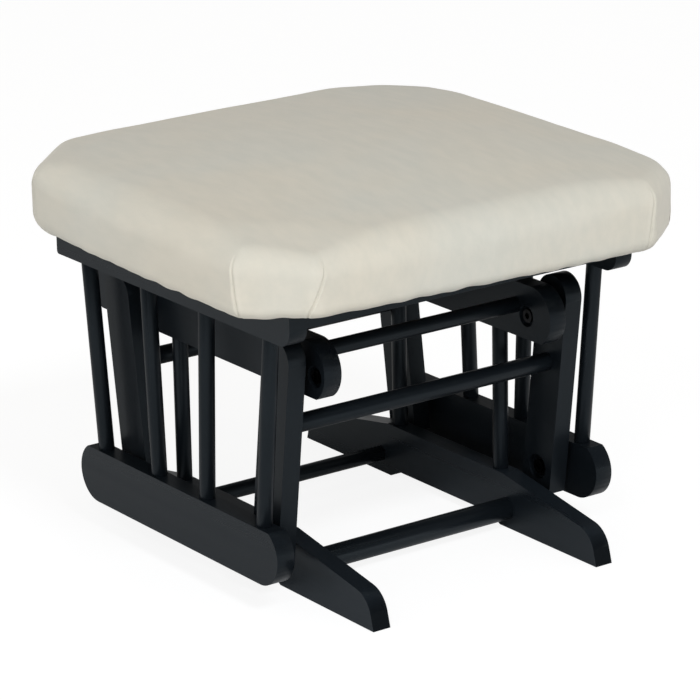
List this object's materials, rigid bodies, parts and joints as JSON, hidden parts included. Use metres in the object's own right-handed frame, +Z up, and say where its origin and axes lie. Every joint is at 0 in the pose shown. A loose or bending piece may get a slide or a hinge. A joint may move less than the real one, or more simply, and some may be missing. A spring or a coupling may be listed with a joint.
{
  "type": "glider ottoman",
  "caption": "Footstool whose padded seat glides forwards and back on swing arms hung from a fixed base with runners.",
  "frame": {"origin": "on the floor, in the middle of the footprint", "axes": "+X across the ottoman to the right seen from the front, +Y to the rear along the glide, +Z up"},
  "size_m": [0.516, 0.5096, 0.4157],
  "materials": {
    "frame_wood": "satin black painted wood",
    "board_wood": "plain plywood",
    "dark_steel": "dark plated steel",
    "cushion_fabric": "cream brushed fabric"
  },
  "bodies": {
    "base": {"runner_left": "frame_wood", "runner_right": "frame_wood", "post_left_front": "frame_wood", "post_left_rear": "frame_wood", "post_right_front": "frame_wood", "post_right_rear": "frame_wood", "base_rail_left": "frame_wood", "base_rail_right": "frame_wood", "stretcher_front": "frame_wood", "stretcher_rear": "frame_wood", "upper_bar_front": "frame_wood", "upper_bar_rear": "frame_wood", "top_pivot_bolts": "dark_steel", "top_pivot_spacers": "dark_steel", "top_pivot_nuts": "dark_steel", "rail_end_screws": "dark_steel"},
    "front_arms": {"arm_front_left": "frame_wood", "arm_front_right": "frame_wood", "arm_bar_front": "frame_wood", "bearings_front": "dark_steel"},
    "rear_arms": {"arm_rear_left": "frame_wood", "arm_rear_right": "frame_wood", "arm_bar_rear": "frame_wood", "bearings_rear": "dark_steel"},
    "seat": {"seat_rail_left": "frame_wood", "seat_rail_right": "frame_wood", "low_pivot_bolts": "dark_steel", "low_pivot_spacers": "dark_steel", "spindle_left_1": "frame_wood", "spindle_left_2": "frame_wood", "spindle_left_3": "frame_wood", "spindle_left_4": "frame_wood", "spindle_right_1": "frame_wood", "spindle_right_2": "frame_wood", "spindle_right_3": "frame_wood", "spindle_right_4": "frame_wood", "top_rail_left": "frame_wood", "top_rail_right": "frame_wood", "seat_cross_front": "frame_wood", "seat_cross_rear": "frame_wood", "seat_board": "board_wood", "cushion": "cushion_fabric"}
  },
  "joints": [
    {"name": "front_swing", "type": "hinge", "parent": "base", "child": "front_arms", "pos_m": [0, -0.13375, 0.234], "axis": [1, 0, 0], "range_deg": [-12, 12]},
    {"name": "rear_swing", "type": "hinge", "parent": "base", "child": "rear_arms", "pos_m": [0, 0.14425, 0.234], "axis": [1, 0, 0], "range_deg": [-12, 12]},
    {"name": "seat_pivot", "type": "hinge", "parent": "front_arms", "child": "seat", "pos_m": [0, -0.11155, 0.0622], "axis": [1, 0, 0], "range_deg": [-14.4, 14.4]}
  ],
  "couplings": [
    {"joint": "rear_swing", "follows": "front_swing", "ratio": 1},
    {"joint": "seat_pivot", "follows": "front_swing", "ratio": -1.1901}
  ]
}
